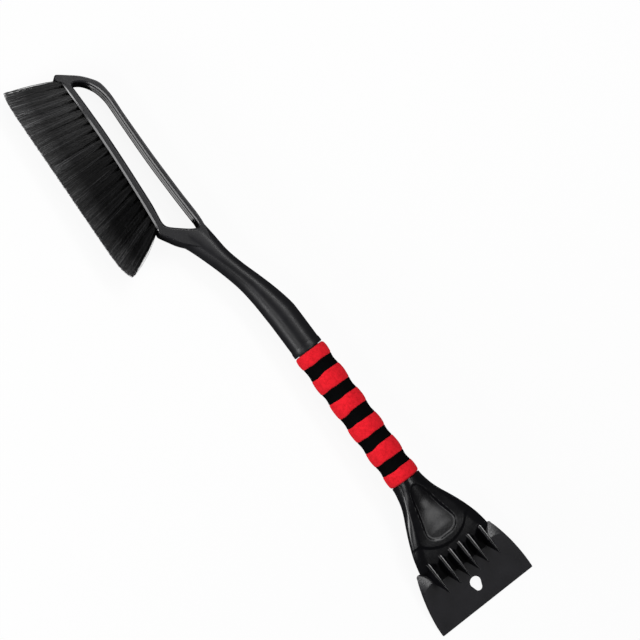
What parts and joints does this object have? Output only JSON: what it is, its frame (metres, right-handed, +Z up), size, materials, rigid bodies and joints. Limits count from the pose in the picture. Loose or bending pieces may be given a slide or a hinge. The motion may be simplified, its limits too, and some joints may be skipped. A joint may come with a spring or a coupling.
{
  "type": "snow brush and ice scraper",
  "caption": "Long-handled snow tool: rows of bristles in an open D-shaped frame, a banded foam grip, and a sloping ice scraper blade under ice-breaking claws.",
  "frame": {"origin": "middle of the footprint, on the table that the tool lies on", "axes": "+X from the brush to the scraper blade, +Y away from the bristle tips, +Z up, the side with the claws"},
  "size_m": [0.6682, 0.1568, 0.0423],
  "materials": {
    "frame_plastic": "satin black moulded polypropylene",
    "bristle": "dark grey plastic bristles, lighter at the flagged tips",
    "steel": "plain steel wire and pin stock",
    "tube": "drawn aluminium tube",
    "foam_red": "soft closed-cell foam, red",
    "foam_black": "soft closed-cell foam, black",
    "head_plastic": "glossier black moulded plastic",
    "blade_plastic": "satin dark grey hard plastic"
  },
  "bodies": {
    "root": {"brush_frame": "frame_plastic", "bristle_row_1": "bristle", "bristle_row_2": "bristle", "bristle_row_3": "bristle", "bristle_row_4": "bristle", "tuft_anchors": "steel", "handle_tube": "tube", "neck_pin": "steel", "head_pin": "steel", "foam_ring_1": "foam_red", "foam_ring_2": "foam_black", "foam_ring_3": "foam_red", "foam_ring_4": "foam_black", "foam_ring_5": "foam_red", "foam_ring_6": "foam_black", "foam_ring_7": "foam_red", "foam_ring_8": "foam_black", "foam_ring_9": "foam_red", "foam_ring_10": "foam_black", "foam_ring_11": "foam_red", "scraper_body": "head_plastic", "scraper_blade": "blade_plastic"}
  },
  "joints": []
}
